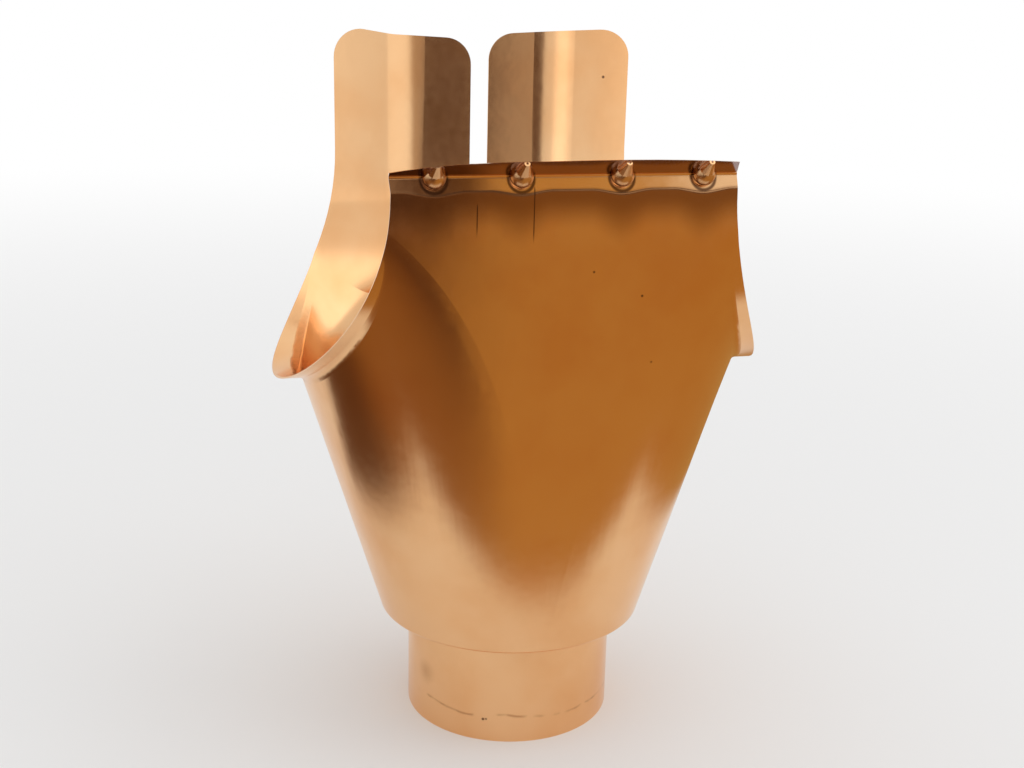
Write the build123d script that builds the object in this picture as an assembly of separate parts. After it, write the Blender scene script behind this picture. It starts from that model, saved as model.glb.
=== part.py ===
from build123d import *
from math import atan2, cos, degrees, radians, sin, sqrt, tan
import os

os.makedirs("parts", exist_ok=True)

# One drawn sheet piece: a round spigot, a shoulder, a funnel, and a saddle that
# hangs round a half round gutter. X runs along the gutter, the front faces -Y and
# the origin is the centre of the spigot's lower rim.

# Gutter, downpipe and sheet
sheet = 0.7
gutter_bore_radius = 76.5
gutter_wall = 0.7
gutter_clearance = 0.1
spigot_radius = 49.0
spigot_length = 52.0

# Shoulder and funnel
shoulder_radius = 62.2
shoulder_edge_radius = 1.8
shoulder_edge_steps = 3
shoulder_root = 1.0
gutter_axis_height = 249.0
funnel_side_slope = 0.312
funnel_corner_radius = 48.0
funnel_corner_power = 6
funnel_sections = 5
wall_stand_off = 0.2
crease_radius = 5.0
trough_start = 60.0
trough_overrun = 20.0

# Saddle ends, measured from the middle along the gutter
saddle_half_length = 111.3
front_half_length = 71.6
rear_half_length = 73.4
end_curve_rise = 90.6

# Front lip, its groove and its pressed gussets
groove_height = 5.8
groove_depth = 2.3
groove_bend_radius = 6.0
lip_crease_height = 267.4
lip_crease_radius = 1.4
lip_reach = 10.5
lip_rise = 7.6
lip_edge_line = ((-72.2, 269.4), (-52.0, 272.3), (-15.0, 273.9), (35.0, 274.3), (69.2, 273.0))
gusset_radius = 4.8
gusset_set_back = 1.0
gusset_stretch = 1.05
gusset_length = 10.0
gusset_ridge_radius = 4.3
gusset_tip_radius = 1.2
gusset_sides = 12
gusset_hollow_turns = (-70, -35, 0, 20)
gusset_places = (-54.5, -19.6, 22.0, 56.8)

# Rear lugs
lug_slot_width = 9.0
lug_slot_floor = 250.0
lug_corner_radius = 13.0
lug_outer_top = 320.2
lug_left_middle = (-44.0, 315.6)
lug_left_inner_top = 313.8
lug_right_inner_top = 316.2
lug_bend_place = 38.0
lug_bend_angle = 17.0
lug_bend_radius = 70.0
rear_ease_radius = 50.0

# Allowances for joining and trimming bodies
overlap = 0.2
spare = 5.0
clear_of_all = 200.0

# Worked out from the sizes above
saddle_radius = gutter_bore_radius + gutter_wall + gutter_clearance + sheet
saddle_bottom = gutter_axis_height - saddle_radius
wall_depth = saddle_radius + wall_stand_off
flare_height = gutter_axis_height - spigot_length
lip_joint_height = lip_crease_height - groove_height - spare


def funnel_section(height, inset):
    """Rounded outline of the funnel's wall at one height, drawn in by the inset."""
    rise = (height - spigot_length) / flare_height
    half_length = shoulder_radius + funnel_side_slope * (height - spigot_length)
    half_depth = wall_depth - (wall_depth - shoulder_radius) * (1 - rise) ** 2
    squaring = (wall_depth - funnel_corner_radius) * rise ** funnel_corner_power
    corner = half_depth - overlap - squaring
    return RectangleRounded(2 * (half_length - inset), 2 * (half_depth - inset), corner - inset)


def funnel(inset):
    """Funnel with its rounded shoulder, up to the gutter's axis, and straight walls above it."""
    edge = shoulder_edge_radius - inset
    foot = spigot_length + inset
    base = foot + edge
    turns = [radians(90 * n / shoulder_edge_steps) for n in range(shoulder_edge_steps + 1)]
    rim = loft(
        [
            Pos(0, 0, foot + edge * (1 - cos(turn))) * funnel_section(base, inset + edge * (1 - sin(turn)))
            for turn in turns
        ],
        ruled=True,
    )
    step = (gutter_axis_height - base) / (funnel_sections - 1)
    heights = [base + step * n for n in range(funnel_sections)]
    flare = loft([Pos(0, 0, height) * funnel_section(height, inset) for height in heights])
    top_section = Pos(0, 0, gutter_axis_height) * funnel_section(gutter_axis_height, inset)
    walls = extrude(top_section, amount=clear_of_all)
    return rim + flare + walls


def trough_end(inset):
    """One end of the round that wraps the gutter, eased where it runs up into the bent rear wall."""
    length = saddle_half_length + trough_overrun - trough_start
    log = Cylinder(saddle_radius - inset, length, rotation=(0, 90, 0))
    lower = Box(
        2 * clear_of_all, 2 * clear_of_all, clear_of_all, align=(Align.CENTER, Align.CENTER, Align.MAX)
    )
    end = Pos(trough_start + length / 2, 0, gutter_axis_height) * (log & lower)
    end = end & rear_cut(inset)
    crest = end.edges().filter_by(GeomType.ELLIPSE)
    return fillet(crest, rear_ease_radius - inset)


def creases(flared, *parts):
    """Edges below the gutter's axis where the funnel breaks out of the trough."""
    found = new_edges(*parts, combined=flared)
    return [edge for edge in found if edge.center().Z < gutter_axis_height - overlap]


def spigot(inset):
    """Round stub that enters the downpipe, with the slanted root of the shoulder."""
    radius = spigot_radius - inset
    root = shoulder_root + inset * (2 - sqrt(2))
    step = spigot_length + inset
    half_section = Polyline(
        (0, -inset),
        (radius, -inset),
        (radius, step - root),
        (radius + root, step),
        (radius + root, step + overlap),
        (0, step + overlap),
        close=True,
    )
    return revolve(Plane.XZ * make_face(half_section), axis=Axis.Z)


def rear_cut(inset):
    """Plan of the space in front of the rear wall, whose outer parts bend forward."""
    half_turn = tan(radians(lug_bend_angle) / 2)
    depth = wall_depth - inset
    bend = lug_bend_place - inset * half_turn
    drop = (clear_of_all - bend) * tan(radians(lug_bend_angle))
    rear = FilletPolyline(
        (-clear_of_all, depth - drop),
        (-bend, depth),
        (bend, depth),
        (clear_of_all, depth - drop),
        radius=lug_bend_radius - inset,
    )
    front = Polyline(
        (clear_of_all, depth - drop),
        (clear_of_all, -clear_of_all),
        (-clear_of_all, -clear_of_all),
        (-clear_of_all, depth - drop),
    )
    return extrude(make_face([rear, front]), amount=2 * clear_of_all)


def envelope(inset):
    """Everything inside one face of the sheet, made as one half and its mirror image."""
    right_side = Box(
        clear_of_all, 2 * clear_of_all, 4 * clear_of_all, align=(Align.MIN, Align.CENTER, Align.CENTER)
    )
    cone = funnel(inset) & right_side
    end = trough_end(inset)
    half = cone + end
    half = fillet(creases(half, cone, end), crease_radius + inset)
    flared = half + mirror(half, about=Plane.YZ)
    whole = flared + spigot(inset)
    return whole & (Pos(0, 0, -spare) * rear_cut(inset))


def lip_line():
    """Front wall, groove and lip as one line down the sheet's front face."""
    crease_depth = wall_depth - groove_depth
    return FilletPolyline(
        (-wall_depth, lip_joint_height),
        (-wall_depth, lip_crease_height - groove_height),
        (-crease_depth, lip_crease_height),
        (-crease_depth - lip_reach, lip_crease_height + lip_rise),
        radius=(groove_bend_radius, lip_crease_radius),
    )


def at_gusset_places(body):
    """The same body across the lip's crease at each gusset, leaning with the lip."""
    depth = wall_depth - groove_depth + gusset_set_back
    lean = Rot(degrees(atan2(lip_reach, lip_rise)), 0, 0)
    return [Pos(place, -depth, lip_crease_height) * lean * body for place in gusset_places]


def many_sided(rings):
    """Flat-sided body through rings, each given by its radius and its height."""
    outlines = [Pos(0, 0, height) * RegularPolygon(radius, gusset_sides) for radius, height in rings]
    return loft(outlines, ruled=True)


def gusset():
    """Outer form of one gusset: a round nose and a ridge that runs out near the lip's edge."""
    nose = scale(Sphere(gusset_radius), by=(1, 1, gusset_stretch))
    ridge = many_sided([(gusset_ridge_radius, 0), (gusset_tip_radius, gusset_length)])
    return nose + ridge


def gusset_hollow():
    """Hollow behind one gusset, one sheet thickness inside its outer form."""
    radius = gusset_radius - sheet
    turns = [radians(turn) for turn in gusset_hollow_turns]
    nose = [(radius * cos(turn), radius * sin(turn)) for turn in turns]
    return many_sided([*nose, (gusset_tip_radius - sheet, gusset_length)])


def lip_strip():
    """Top of the front wall with its groove, lip and pressed gussets."""
    face_line = lip_line()
    back_line = offset(face_line, sheet, side=Side.RIGHT, closed=False)
    tip = back_line @ 1
    back_of_block = -wall_depth / 2
    foot = lip_joint_height
    block_rim = Polyline(face_line @ 1, tip, (back_of_block, tip.Y), (back_of_block, foot), face_line @ 0)
    hollow_rim = Polyline(
        tip,
        (tip.X, tip.Y + spare),
        (back_of_block + spare, tip.Y + spare),
        (back_of_block + spare, foot - spare),
        (-wall_depth + sheet, foot - spare),
        back_line @ 0,
    )
    block = extrude(Plane.YZ * make_face([face_line, block_rim]), amount=clear_of_all / 2, both=True)
    hollow = extrude(Plane.YZ * make_face([back_line, hollow_rim]), amount=clear_of_all / 2, both=True)
    strip = block + at_gusset_places(gusset())
    strip = strip - hollow
    strip = strip - at_gusset_places(gusset_hollow())
    keep = Pos(0, 0, foot) * Box(
        2 * clear_of_all, 2 * clear_of_all, clear_of_all, align=(Align.CENTER, Align.CENTER, Align.MIN)
    )
    return strip & keep


def end_curve(half_length, side):
    """One end of the saddle, from the trough's lowest point up to the upright edge."""
    middle = saddle_bottom + end_curve_rise / 2
    return Bezier(
        (side * saddle_half_length, saddle_bottom),
        (side * half_length, middle),
        (side * half_length, saddle_bottom + end_curve_rise),
    )


def front_outline():
    """Front view of the front half: foot, ends and the lip's edge."""
    left = end_curve(front_half_length, -1)
    right = end_curve(front_half_length, 1)
    lip_edge = Spline(*lip_edge_line)
    rest = Polyline(right @ 0, (saddle_half_length, -spare), (-saddle_half_length, -spare), left @ 0)
    left_side = Line(left @ 1, lip_edge @ 0)
    right_side = Polyline(lip_edge @ 1, (front_half_length, lip_crease_height), right @ 1)
    return make_face([left, right, lip_edge, rest, left_side, right_side])


def rear_outline():
    """Front view of the rear half: foot, ends, two lugs and the slot between them."""
    left = end_curve(rear_half_length, -1)
    right = end_curve(rear_half_length, 1)
    slot = lug_slot_width / 2
    left_lug = FilletPolyline(
        left @ 1,
        (-rear_half_length, lug_outer_top),
        lug_left_middle,
        (-slot, lug_left_inner_top),
        (-slot, lug_slot_floor),
        radius=(lug_corner_radius, 3 * lug_corner_radius, lug_corner_radius),
    )
    right_lug = FilletPolyline(
        (slot, lug_slot_floor),
        (slot, lug_right_inner_top),
        (rear_half_length, lug_outer_top),
        right @ 1,
        radius=lug_corner_radius,
    )
    slot_floor = RadiusArc(left_lug @ 1, right_lug @ 0, -slot)
    rest = Polyline(right @ 0, (saddle_half_length, -spare), (-saddle_half_length, -spare), left @ 0)
    return make_face([left, right, left_lug, right_lug, slot_floor, rest])


def outline_block():
    """Space that the trimmed sheet fills, seen from the front."""
    front = extrude(Plane.XZ * front_outline(), amount=clear_of_all)
    rear = extrude(Plane.XZ * rear_outline(), amount=-clear_of_all)
    return front + rear


def outlet():
    """The whole drawn piece."""
    shell = envelope(0) - envelope(sheet)
    over_lip_joint = Pos(0, 0, lip_joint_height) * Box(
        2 * clear_of_all, clear_of_all, clear_of_all, align=(Align.CENTER, Align.MAX, Align.MIN)
    )
    untrimmed = (shell - over_lip_joint) + lip_strip()
    return untrimmed & outline_block()


piece = outlet()
print("volume", round(piece.volume, 1), "box", piece.bounding_box())
export_step(piece, "parts/gutter_outlet.step")
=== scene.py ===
from math import cos, radians, sin, tan

import bpy
from mathutils import Matrix, Vector

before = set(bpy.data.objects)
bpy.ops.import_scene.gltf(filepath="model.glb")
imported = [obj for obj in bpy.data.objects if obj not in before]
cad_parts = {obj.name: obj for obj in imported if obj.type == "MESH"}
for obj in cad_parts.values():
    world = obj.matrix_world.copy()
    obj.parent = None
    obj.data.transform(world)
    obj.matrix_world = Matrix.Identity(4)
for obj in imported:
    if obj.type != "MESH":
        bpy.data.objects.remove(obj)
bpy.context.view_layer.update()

# Looks of a drawn copper gutter outlet that stands on its spigot on a pale floor.
# Lengths are in metres and colours are linear.

# Camera
camera_place = (-0.15975, -0.58773, 0.33661)
camera_turn = -15.14
camera_dip = 16.19
camera_roll = 1.34
camera_lens = 47.53
camera_sensor = 36

# Copper
copper_bright = (0.92, 0.555, 0.285)
copper_warm = (0.86, 0.46, 0.205)
sheet_roughness = 0.13
drawn_roughness = 0.21
roughness_spread = 0.05
roughness_change = (0.14, 0.27)
cloud_scale = 22.0
cloud_detail = 4.0
cloud_warmth = (0.35, 0.75)
fine_scale = 260.0
fine_detail = 3.0
peel_depth = 0.0006
peel_strength = 0.25
streak_depth = 0.0005
streak_strength = 0.35
streak_scale = 7.0
streak_detail = 4.0
streak_stretch = 1.5
streak_foot = (0.05, 0.11)
streak_top = (0.23, 0.15)

# Places on the sheet. Each pair of values is where an effect is nought and where it is full.
front_wall = (-0.070, -0.073)
front_faces = (0.1, -0.1)
rear_wall = (0.045, 0.055)
gutter_axis = 0.249
gutter_radius = 0.0765

# Lugs, which spring back a little from the forming. Leans are in degrees.
lug_foot = 0.235
lug_top = 0.32
lug_blend = 0.02
lug_lean_foot = 12.0
lug_lean_top = 7.0

# Collars, where the rear wall runs out into the gutter's half round
collar_beside = (0.020, 0.048)
collar_rear = (0.0, 0.03)
collar_low = (gutter_axis, gutter_axis - 0.032)
collar_near = (0.020, 0.008)
collar_firm = (0.45, 0.75)
collar_turn = 0.21
collar_end = (0.080, 0.090)
collar_end_turn = 0.1

# Hollow pressed under the lip, deeper under the gussets. Shares are of its own depth.
lip_crease = 0.2668
crease_edge = (0.0, 0.0004)
hollow_depth = 0.0042
hollow_sag = 0.0014
hollow_tip = 0.42
hollow_share = (1.35, 1.0)
hollow_foot = (0.0175, 0.0155)
hollow_faces = (-0.4, -0.7)
sheet_not_gusset = (-0.0790, -0.0785)

# Lip and gussets
lip_slope = (0.0, -0.59, -0.81)
lip_offset = -0.1718
lip_faces = (-0.3, -0.5)
# Painted shade on the underside of the turned lip: a dull dark colour where it faces down.
lip_shade_height = (0.2674, 0.2686)
lip_shade_reach = (-0.074, -0.0765)
lip_shade_colour = (0.42, 0.31, 0.30)
gusset_places = (-0.0545, -0.0196, 0.0220, 0.0568)
gusset_spread = 0.013
gusset_bulb_height = 0.2664
gusset_foot_radius = 0.0052
gusset_shadow_width = (0.0011, 0.0002)
gusset_shadow_top = (0.003, 0.0)
gusset_proud = (0.0010, 0.0018)
gusset_reach = (-0.0782, -0.0788)
gusset_low = (0.255, 0.258)
gusset_copper = (0.74, 0.44, 0.22)
gusset_dulling = 0.16

# Painted dark reflection under the lip, a brown band which fills the hollow at its left end
under_lip_dark_brown = (0.34, 0.155, 0.065)
under_lip_dark_strength = 0.92
under_lip_dark_share = (0.85, 1.3)
under_lip_dark_fade = (5.2, 1.6)
under_lip_dark_left = (-0.026, -0.044)

# Scratches down the front: place across, foot and top
scratches = ((-0.0375, 0.243, 0.2575), (-0.0144, 0.240, 0.264))
scratch_width = 0.0003
scratch_foot_fade = 0.006
scratch_top_fade = 0.002
# The scratches' brown also colours the specks and the painted shadow round the gussets.
scratch_and_shadow_brown = (0.12, 0.05, 0.025)
scratch_and_shadow_strength = 0.9

# Specks: place and radius, then the shares of the radius that are full and clear
specks = (
    ((0.0326, -0.0778, 0.218), 0.0009),
    ((0.0386, -0.0764, 0.1893), 0.0007),
    ((0.0114, -0.0780, 0.2286), 0.0008),
    ((-0.0227, -0.0434, 0.0109), 0.0012),
    ((-0.0214, -0.0440, 0.0111), 0.0008),
    ((0.0618, 0.0702, 0.2965), 0.0012),
)
speck_core = 0.3
speck_rim = 0.8

# Smudge and broken stains on the spigot, and a broken painted shadow line under the step
smudge_place = (-0.045, -0.0194, 0.0257)
smudge_radius = 0.008
smudge_strength = 0.6
stain_height = 0.0185
stain_waver = 0.012
stain_width = (0.0010, 0.0001)
stain_and_shadow_scale = 90.0
stain_and_shadow_detail = 3.0
stain_and_shadow_patches = (0.42, 0.6)
# Painted shadow line under the step, drawn in the stain colour
step_height = 0.0505
step_shadow_width = (0.0015, 0.0003)
stain_and_shadow_brown = (0.50, 0.24, 0.10)
stain_and_shadow_strength = 0.7

# Floor and room
floor_half_size = 6.0
floor_colour = (0.86, 0.86, 0.86)
floor_fade = (0.35, 2.2)
white = (1.0, 1.0, 1.0, 1.0)
room_horizon = 0.78
room_top = 0.95
room_top_at = 0.8

# Wooden boards round the pale sheet that the outlet stands on. They glow rather than take light, with a
# painted lit gold band and painted shade.
sheet_left = -0.20
sheet_right = 0.22
sheet_front = -0.16
sheet_back = 0.13
board_blur = 0.03
board_near = 2.1
board_far = 3.4
board_width = 6.0
board_length = 7.0
board_height = 0.0006
board_slant = 0.27
board_lit_band = (-0.21, -0.03)
board_shade = (-0.65, -0.2)
board_beside = (-0.14, 0.0)
board_lit_gold = (0.45, 0.25, 0.07)
board_brown = (0.26, 0.12, 0.035)
board_shaded_dark = (0.11, 0.048, 0.018)

# Cards in front: name, azimuths, elevations, glow and blur at the edges
card_centre = (0.0, -0.02, 0.27)
card_distance = 3.0
cards = (
    ("far_boards", (4.0, 32.0), (-7.5, 4), (0.25, 0.13, 0.05), 0.12),
    ("dark_strip", (8.2, 16.0), (3, 22), (0.08, 0.035, 0.015), 0.15),
    ("tan_strip", (15.0, 23.0), (6, 20), (0.45, 0.37, 0.30), 0.2),
    ("dark_front", (9.2, 27.0), (19, 30), (0.14, 0.07, 0.025), 0.1),
    ("dark_above", (10.0, 15.0), (28, 48), (0.12, 0.06, 0.03), 0.15),
    ("golden_above", (14.0, 27.0), (29, 48), (0.52, 0.33, 0.10), 0.12),
    ("bright_left", (-15.0, 1.0), (-2, 30), (1.35, 1.35, 1.35), 0.3),
    ("bright_right", (24.0, 43.0), (4, 20), (1.05, 1.05, 1.05), 0.1),
    ("window_right", (47.0, 95.0), (15, 75), (1.5, 1.5, 1.5), 0.2),
)


def chain(tree, kind, links=(), **values):
    """Adds a node, sets its inputs by name or number and links others into it."""
    node = tree.nodes.new(kind)
    for key, value in values.items():
        setattr(node, key, value)
    for socket, source in links:
        if isinstance(source, (int, float, tuple)):
            node.inputs[socket].default_value = source
        else:
            tree.links.new(source, node.inputs[socket])
    return node


def maths(tree, operation, *inputs):
    """Result of one sum on numbers or sockets."""
    return chain(tree, "ShaderNodeMath", enumerate(inputs), operation=operation).outputs[0]


def fade(tree, value, nought_at, one_at):
    """Nought at one value, one at the other, and a soft change between."""
    node = chain(
        tree,
        "ShaderNodeMapRange",
        [("Value", value), ("From Min", nought_at), ("From Max", one_at)],
        interpolation_type="SMOOTHSTEP",
    )
    return node.outputs["Result"]


def blend_colours(tree, factor, first, second):
    """First colour where the factor is nought and second where it is one."""
    node = tree.nodes.new("ShaderNodeMix")
    node.data_type = "RGBA"
    for socket, source in ((0, factor), (6, first), (7, second)):
        if isinstance(source, bpy.types.NodeSocket):
            tree.links.new(source, node.inputs[socket])
        elif isinstance(source, tuple):
            node.inputs[socket].default_value = (*source, 1.0)
        else:
            node.inputs[socket].default_value = source
    return node.outputs[2]


def new_material(name):
    """Empty node material and its output."""
    material = bpy.data.materials.new(name)
    material.use_nodes = True
    material.node_tree.nodes.clear()
    output = material.node_tree.nodes.new("ShaderNodeOutputMaterial")
    return material, material.node_tree, output


def product(tree, *factors):
    """All the factors multiplied together."""
    result = factors[0]
    for factor in factors[1:]:
        result = maths(tree, "MULTIPLY", result, factor)
    return result


def largest(tree, *values):
    """The largest of the values."""
    result = values[0]
    for value in values[1:]:
        result = maths(tree, "MAXIMUM", result, value)
    return result


def gap(tree, value, middle):
    """How far the value is from the middle, on either side."""
    return maths(tree, "ABSOLUTE", maths(tree, "SUBTRACT", value, middle))


def noise(tree, place, scale, detail):
    """Soft noise with an average near a half."""
    links = [("Vector", place), ("Scale", scale), ("Detail", detail)]
    return chain(tree, "ShaderNodeTexNoise", links).outputs["Fac"]


def parts_of(tree, vector):
    """The three parts of a vector."""
    return chain(tree, "ShaderNodeSeparateXYZ", [(0, vector)]).outputs


def vector_of(tree, x, y, z):
    """Vector with the three parts given."""
    return chain(tree, "ShaderNodeCombineXYZ", [(0, x), (1, y), (2, z)]).outputs[0]


def vector_maths(tree, operation, *inputs):
    """Result of one sum on vectors, whether it is a vector or a number."""
    node = chain(tree, "ShaderNodeVectorMath", enumerate(inputs), operation=operation)
    gives_number = operation in ("LENGTH", "DISTANCE", "DOT_PRODUCT")
    return node.outputs["Value" if gives_number else "Vector"]


def scaled(tree, vector, factor):
    """Vector made longer or shorter."""
    return chain(tree, "ShaderNodeVectorMath", [(0, vector), ("Scale", factor)], operation="SCALE").outputs[0]


def joined(tree, first, second):
    """Two vectors added and brought to a length of one."""
    return vector_maths(tree, "NORMALIZE", vector_maths(tree, "ADD", first, second))


def blend_normals(tree, weight, first, second):
    """First normal where the weight is nought and second where it is one."""
    kept = scaled(tree, first, maths(tree, "SUBTRACT", 1.0, weight))
    return joined(tree, kept, scaled(tree, second, weight))


def leaning_lugs(tree, place, normal):
    """Normal tipped upward on the rear wall, most at the foot of the lugs."""
    _, y, z = parts_of(tree, place)
    lean = chain(
        tree,
        "ShaderNodeMapRange",
        [
            ("Value", z),
            ("From Min", lug_foot),
            ("From Max", lug_top),
            ("To Min", -tan(radians(lug_lean_foot))),
            ("To Max", -tan(radians(lug_lean_top))),
        ],
    ).outputs["Result"]
    rear = fade(tree, y, *rear_wall)
    high = fade(tree, z, lug_foot - lug_blend, lug_foot)
    rise = product(tree, parts_of(tree, normal)[1], lean, rear, high)
    return joined(tree, normal, vector_of(tree, 0.0, 0.0, rise))


def collar_turned(tree, x, normal):
    """Turn to the side that the collar keeps from the lug, a little more near its end."""
    near_end = fade(tree, maths(tree, "ABSOLUTE", x), *collar_end)
    most = maths(tree, "MULTIPLY_ADD", near_end, collar_end_turn, collar_turn)
    turn = maths(tree, "MINIMUM", parts_of(tree, normal)[0], most)
    turn = maths(tree, "MAXIMUM", turn, maths(tree, "MULTIPLY", most, -1.0))
    return vector_of(tree, turn, 0.0, 0.0)


def rounded_collars(tree, place, normal):
    """Normal of a plain half round where the rear wall runs out into the collars."""
    x, y, z = parts_of(tree, place)
    across = maths(tree, "MULTIPLY", y, -1.0)
    spoke = vector_of(tree, 0.0, across, maths(tree, "SUBTRACT", gutter_axis, z))
    reach = vector_maths(tree, "LENGTH", spoke)
    spoke = vector_maths(tree, "NORMALIZE", spoke)
    facing = vector_maths(tree, "DOT_PRODUCT", spoke, normal)
    weight = product(
        tree,
        fade(tree, maths(tree, "ABSOLUTE", x), *collar_beside),
        fade(tree, y, *collar_rear),
        fade(tree, z, *collar_low),
        fade(tree, gap(tree, reach, gutter_radius), *collar_near),
        fade(tree, maths(tree, "ABSOLUTE", facing), *collar_firm),
    )
    spoke = scaled(tree, spoke, maths(tree, "SIGN", facing))
    return blend_normals(tree, weight, normal, joined(tree, spoke, collar_turned(tree, x, normal)))


def below_crease(tree, place):
    """Depth below the lip's crease, and the same as a share of the hollow's own depth there."""
    x, _, z = parts_of(tree, place)
    drop = maths(tree, "SUBTRACT", lip_crease, z)
    under_gussets = [fade(tree, gap(tree, x, middle), gusset_spread, 0.0) for middle in gusset_places]
    depth = maths(tree, "MULTIPLY_ADD", largest(tree, *under_gussets), hollow_sag, hollow_depth)
    return drop, maths(tree, "DIVIDE", drop, depth)


def hollow_under_lip(tree, place, normal):
    """Normal of the shallow wavy hollow that the lip's crease leaves in the front wall."""
    y = parts_of(tree, place)[1]
    across, outward, _ = parts_of(tree, normal)
    drop, share = below_crease(tree, place)
    tip = maths(tree, "MULTIPLY", fade(tree, share, *hollow_share), hollow_tip)
    rise = product(tree, tip, maths(tree, "MULTIPLY", outward, -1.0))
    weight = product(
        tree,
        fade(tree, drop, *crease_edge),
        fade(tree, drop, *hollow_foot),
        fade(tree, y, *sheet_not_gusset),
        fade(tree, y, *front_wall),
        fade(tree, outward, *hollow_faces),
    )
    return blend_normals(tree, weight, normal, vector_of(tree, across, outward, rise))


def drawn_streaks(tree, place):
    """Faint lines that run down the outlet the way it was drawn."""
    x, y, z = parts_of(tree, place)
    around = vector_maths(tree, "NORMALIZE", vector_of(tree, x, y, 0.0))
    down = vector_of(tree, 0.0, 0.0, maths(tree, "MULTIPLY", z, streak_stretch))
    lines = noise(tree, vector_maths(tree, "ADD", around, down), streak_scale, streak_detail)
    return product(tree, lines, fade(tree, z, *streak_foot), fade(tree, z, *streak_top))


def spot(tree, place, centre, inner, outer):
    """One near the centre and nought beyond the outer distance."""
    return fade(tree, vector_maths(tree, "DISTANCE", place, centre), outer, inner)


def scratch_marks(tree, place):
    """Thin dark scratches down the front wall."""
    x, y, z = parts_of(tree, place)
    marks = []
    for across, foot, top in scratches:
        line = fade(tree, gap(tree, x, across), scratch_width, scratch_width / 2)
        above = fade(tree, z, foot, foot + scratch_foot_fade)
        below = fade(tree, z, top, top - scratch_top_fade)
        marks.append(product(tree, line, above, below))
    return product(tree, largest(tree, *marks), fade(tree, y, *front_wall))


def spigot_stains_and_step_shadow(tree, place, cloud):
    """Smudge, broken rings of dried dirt near the spigot's foot, and a broken painted shadow line under the
    step.
    """
    z = parts_of(tree, place)[2]
    waver = maths(tree, "MULTIPLY_ADD", cloud, stain_waver, z)
    foot_ring = fade(tree, gap(tree, waver, stain_height), *stain_width)
    # Painted shadow under the step.
    step_shadow = fade(tree, gap(tree, z, step_height), *step_shadow_width)
    patches = fade(tree, noise(tree, place, stain_and_shadow_scale, stain_and_shadow_detail), *stain_and_shadow_patches)
    rings = product(tree, largest(tree, foot_ring, step_shadow), patches)
    smudge = spot(tree, place, smudge_place, 0.0, smudge_radius)
    return largest(tree, rings, maths(tree, "MULTIPLY", smudge, smudge_strength))


def lip_underside(tree, place, normal):
    """One on the underside of the turned lip, above its crease, where shade is painted."""
    _, y, z = parts_of(tree, place)
    below = fade(tree, parts_of(tree, normal)[2], *lip_faces)
    return product(tree, below, fade(tree, z, *lip_shade_height), fade(tree, y, *lip_shade_reach))


def dark_under_lip(tree, place):
    """Painted dark reflection: a brown band below the hollow, and over the hollow at its left end."""
    x, y, _ = parts_of(tree, place)
    drop, share = below_crease(tree, place)
    started = largest(tree, fade(tree, share, *under_lip_dark_share), fade(tree, x, *under_lip_dark_left))
    ended = fade(tree, share, *under_lip_dark_fade)
    return product(tree, started, ended, fade(tree, drop, *crease_edge), fade(tree, y, *front_wall))


def gusset_shadow(tree, place):
    """Dark line round the foot of each gusset."""
    x, y, z = parts_of(tree, place)
    level = maths(tree, "SUBTRACT", z, gusset_bulb_height)
    rings = []
    for gusset_place in gusset_places:
        offset = vector_of(tree, maths(tree, "SUBTRACT", x, gusset_place), 0.0, level)
        away = gap(tree, vector_maths(tree, "LENGTH", offset), gusset_foot_radius)
        rings.append(fade(tree, away, *gusset_shadow_width))
    lower = fade(tree, level, *gusset_shadow_top)
    return product(tree, largest(tree, *rings), lower, fade(tree, y, *front_wall))


def on_gussets(tree, place):
    """One on the gussets, which stand proud of the lip's underside."""
    _, y, z = parts_of(tree, place)
    proud = maths(tree, "SUBTRACT", vector_maths(tree, "DOT_PRODUCT", place, lip_slope), lip_offset)
    return product(
        tree,
        fade(tree, proud, *gusset_proud),
        fade(tree, y, *gusset_reach),
        fade(tree, z, *gusset_low),
    )


def copper_colour(tree, place, normal, cloud):
    """Copper that varies softly, with painted shade and dark reflection round the lip, painted shadows,
    stains, specks and scratches.
    """
    outside = fade(tree, parts_of(tree, normal)[1], *front_faces)
    under_lip_dark = product(tree, dark_under_lip(tree, place), outside, under_lip_dark_strength)
    stains_and_step_shadow = maths(tree, "MULTIPLY", spigot_stains_and_step_shadow(tree, place, cloud), stain_and_shadow_strength)
    marks = [spot(tree, place, centre, radius * speck_core, radius * speck_rim) for centre, radius in specks]
    marks.append(maths(tree, "MULTIPLY", scratch_marks(tree, place), outside))
    # Painted shadow round the foot of each gusset, in the scratches' brown.
    marks.append(gusset_shadow(tree, place))
    marks = maths(tree, "MULTIPLY", largest(tree, *marks), scratch_and_shadow_strength)
    colour = blend_colours(tree, fade(tree, cloud, *cloud_warmth), copper_bright, copper_warm)
    # Painted shade on the lip's underside.
    colour = blend_colours(tree, lip_underside(tree, place, normal), colour, lip_shade_colour)
    # Painted dark reflection under the lip.
    colour = blend_colours(tree, under_lip_dark, colour, under_lip_dark_brown)
    colour = blend_colours(tree, on_gussets(tree, place), colour, gusset_copper)
    colour = blend_colours(tree, stains_and_step_shadow, colour, stain_and_shadow_brown)
    return blend_colours(tree, marks, colour, scratch_and_shadow_brown)


def copper_roughness(tree, place, cloud):
    """Smooth in the lugs, duller where the sheet was drawn deeper and on the gussets."""
    smoothness = fade(tree, parts_of(tree, place)[2], *roughness_change)
    roughness = maths(tree, "MULTIPLY_ADD", smoothness, sheet_roughness - drawn_roughness, drawn_roughness)
    roughness = maths(tree, "MULTIPLY_ADD", cloud, roughness_spread, roughness)
    fine = noise(tree, place, fine_scale, fine_detail)
    roughness = maths(tree, "MULTIPLY_ADD", fine, roughness_spread, roughness)
    roughness = maths(tree, "SUBTRACT", roughness, roughness_spread)
    return maths(tree, "MULTIPLY_ADD", on_gussets(tree, place), gusset_dulling, roughness)


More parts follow.
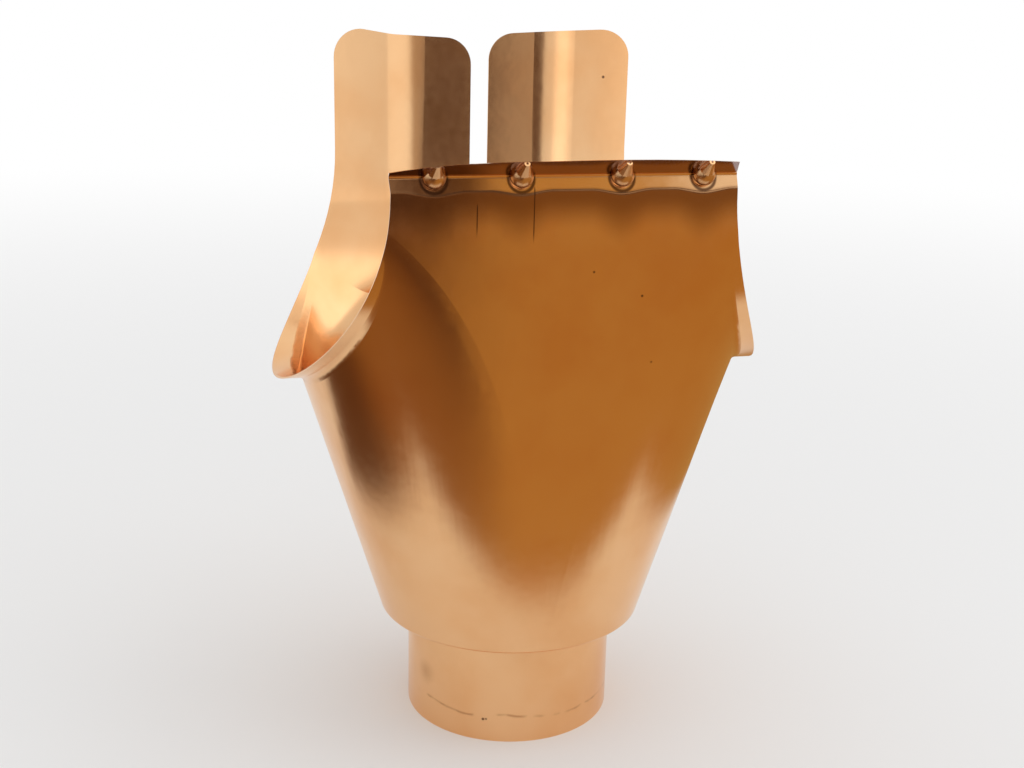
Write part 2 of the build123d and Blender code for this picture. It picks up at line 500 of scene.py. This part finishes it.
def raised(tree, height, strength, distance, normal):
    """Normal with a fine relief on it."""
    links = [("Height", height), ("Strength", strength), ("Distance", distance), ("Normal", normal)]
    return chain(tree, "ShaderNodeBump", links).outputs[0]


def copper_normal(tree, place, normal, cloud):
    """Normal of the formed sheet, with its drawing streaks and soft unevenness."""
    normal = rounded_collars(tree, place, normal)
    normal = leaning_lugs(tree, place, normal)
    normal = hollow_under_lip(tree, place, normal)
    normal = raised(tree, drawn_streaks(tree, place), streak_strength, streak_depth, normal)
    return raised(tree, cloud, peel_strength, peel_depth, normal)


def drawn_copper():
    """Bright copper sheet, drawn to shape and a little marked by handling, with some painted shade and
    shadow.
    """
    material, tree, output = new_material("drawn_copper")
    place = tree.nodes.new("ShaderNodeTexCoord").outputs["Object"]
    normal = tree.nodes.new("ShaderNodeNewGeometry").outputs["Normal"]
    cloud = noise(tree, place, cloud_scale, cloud_detail)
    metal = chain(
        tree,
        "ShaderNodeBsdfPrincipled",
        [
            ("Base Color", copper_colour(tree, place, normal, cloud)),
            ("Roughness", copper_roughness(tree, place, cloud)),
            ("Metallic", 1.0),
            ("Normal", copper_normal(tree, place, normal, cloud)),
        ],
    )
    tree.links.new(metal.outputs[0], output.inputs["Surface"])
    return material


def pale_floor():
    """Matt pale floor that runs out into the white of the room."""
    material, tree, output = new_material("pale_floor")
    place = tree.nodes.new("ShaderNodeTexCoord").outputs["Object"]
    far = fade(tree, vector_maths(tree, "LENGTH", place), *floor_fade)
    rays = tree.nodes.new("ShaderNodeLightPath").outputs
    seen = largest(tree, rays["Is Camera Ray"], rays["Is Glossy Ray"], rays["Is Transmission Ray"])
    matt = chain(tree, "ShaderNodeBsdfDiffuse", [("Color", (*floor_colour, 1.0))])
    glow = chain(tree, "ShaderNodeEmission", [("Color", white), ("Strength", 1.0)])
    whiteness = maths(tree, "MULTIPLY", far, seen)
    mix = chain(tree, "ShaderNodeMixShader", [(0, whiteness), (1, matt.outputs[0]), (2, glow.outputs[0])])
    tree.links.new(mix.outputs[0], output.inputs["Surface"])
    return material


def flat_panel(name, width, height, centre):
    """Flat rectangle in its own XY plane, placed by its centre."""
    half_width = width / 2
    half_height = height / 2
    corners = [
        (-half_width, -half_height, 0),
        (half_width, -half_height, 0),
        (half_width, half_height, 0),
        (-half_width, half_height, 0),
    ]
    mesh = bpy.data.meshes.new(name)
    mesh.from_pydata(corners, [], [(0, 1, 2, 3)])
    panel = bpy.data.objects.new(name, mesh)
    panel.location = centre
    bpy.context.scene.collection.objects.link(panel)
    return panel


def hide_from_camera(panel):
    """Leaves the panel to be seen in the metal alone."""
    panel.visible_camera = False
    panel.visible_shadow = False
    panel.visible_diffuse = False


def card_material(name, colour, blur):
    """Even glow that fades out at the card's edges."""
    material, tree, output = new_material(name)
    across, along, _ = parts_of(tree, tree.nodes.new("ShaderNodeTexCoord").outputs["Generated"])
    off_centre = largest(tree, gap(tree, across, 0.5), gap(tree, along, 0.5))
    inside = fade(tree, off_centre, 0.5, 0.5 - blur)
    glow = chain(tree, "ShaderNodeEmission", [("Color", (*colour, 1.0)), ("Strength", 1.0)])
    clear = tree.nodes.new("ShaderNodeBsdfTransparent")
    mix = chain(tree, "ShaderNodeMixShader", [(0, inside), (1, clear.outputs[0]), (2, glow.outputs[0])])
    tree.links.new(mix.outputs[0], output.inputs["Surface"])
    return material


def board_material():
    """Glowing brown boards round the pale sheet, with a painted lit gold band, and painted shade on the left
    and far away.
    """
    material, tree, output = new_material("brown_boards")
    place = tree.nodes.new("ShaderNodeTexCoord").outputs["Object"]
    x, y, _ = parts_of(tree, place)
    front = fade(tree, y, sheet_front + board_blur, sheet_front - board_blur)
    right = fade(tree, x, sheet_right - board_blur, sheet_right + board_blur)
    left = fade(tree, x, sheet_left + board_blur, sheet_left - board_blur)
    near = fade(tree, y, sheet_back + board_blur, sheet_back - board_blur)
    mask = largest(tree, front, right, maths(tree, "MULTIPLY", left, near))
    reach = vector_maths(tree, "LENGTH", place)
    mask = maths(tree, "MULTIPLY", mask, fade(tree, reach, board_far, board_near))
    # Painted light: a gold band where the boards are lit on the right.
    lit_band = fade(tree, maths(tree, "MULTIPLY_ADD", y, board_slant, x), *board_lit_band)
    colour = blend_colours(tree, fade(tree, y, *board_shade), board_shaded_dark, board_brown)
    colour = blend_colours(tree, lit_band, colour, board_lit_gold)
    # Painted shade on the boards to the left.
    shaded_side = maths(tree, "MULTIPLY", fade(tree, y, *board_beside), maths(tree, "LESS_THAN", x, 0.0))
    colour = blend_colours(tree, shaded_side, colour, board_shaded_dark)
    glow = chain(tree, "ShaderNodeEmission", [("Color", colour), ("Strength", 1.0)])
    clear = tree.nodes.new("ShaderNodeBsdfTransparent")
    mix = chain(tree, "ShaderNodeMixShader", [(0, mask), (1, clear.outputs[0]), (2, glow.outputs[0])])
    tree.links.new(mix.outputs[0], output.inputs["Surface"])
    return material


def card_towards(name, azimuths, elevations, colour, blur):
    """Card that fills a range of directions, in degrees from the front and from level."""
    azimuth = radians(sum(azimuths) / 2)
    elevation = radians(sum(elevations) / 2)
    width = 2 * card_distance * tan(radians(azimuths[1] - azimuths[0]) / 2)
    height = 2 * card_distance * tan(radians(elevations[1] - elevations[0]) / 2)
    way = Vector((sin(azimuth) * cos(elevation), -cos(azimuth) * cos(elevation), sin(elevation)))
    card = flat_panel(name, width, height, Vector(card_centre) + way * card_distance)
    card.rotation_euler = (-way).to_track_quat("Z", "Y").to_euler()
    card.data.materials.append(card_material(name, colour, blur))
    hide_from_camera(card)


def studio():
    """Floor, boards and cards."""
    floor = flat_panel("floor", 2 * floor_half_size, 2 * floor_half_size, (0, 0, 0))
    floor.data.materials.append(pale_floor())
    boards = flat_panel("boards", board_width, board_length, (0, 0, board_height))
    boards.data.materials.append(board_material())
    hide_from_camera(boards)
    for card in cards:
        card_towards(*card)
    bpy.data.objects["window_right"].visible_diffuse = True


def room():
    """Even pale room, a little lighter overhead."""
    world = bpy.data.worlds.new("pale_room")
    bpy.context.scene.world = world
    world.use_nodes = True
    tree = world.node_tree
    tree.nodes.clear()
    height = parts_of(tree, tree.nodes.new("ShaderNodeTexCoord").outputs["Generated"])[2]
    level = chain(
        tree,
        "ShaderNodeMapRange",
        [("Value", height), ("From Max", room_top_at), ("To Min", room_horizon), ("To Max", room_top)],
    )
    rays = tree.nodes.new("ShaderNodeLightPath")
    strength = maths(tree, "MAXIMUM", level.outputs["Result"], rays.outputs["Is Camera Ray"])
    background = chain(tree, "ShaderNodeBackground", [("Color", white), ("Strength", strength)])
    output = tree.nodes.new("ShaderNodeOutputWorld")
    tree.links.new(background.outputs[0], output.inputs["Surface"])


def photo_camera():
    """Camera where the photograph was taken from."""
    camera = bpy.data.objects.new("camera", bpy.data.cameras.new("camera"))
    camera.data.lens = camera_lens
    camera.data.sensor_width = camera_sensor
    turn = Matrix.Rotation(radians(camera_turn), 4, "Z")
    dip = Matrix.Rotation(radians(90 - camera_dip), 4, "X")
    roll = Matrix.Rotation(radians(camera_roll), 4, "Z")
    camera.matrix_world = Matrix.Translation(Vector(camera_place)) @ turn @ dip @ roll
    bpy.context.scene.collection.objects.link(camera)
    bpy.context.scene.camera = camera


def dress_outlet(outlet):
    """Copper on every face of the sheet."""
    copper = drawn_copper()
    for slot in outlet.material_slots:
        slot.material = copper


dress_outlet(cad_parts["gutter_outlet"])
room()
studio()
photo_camera()
bpy.context.scene.view_settings.view_transform = "Standard"
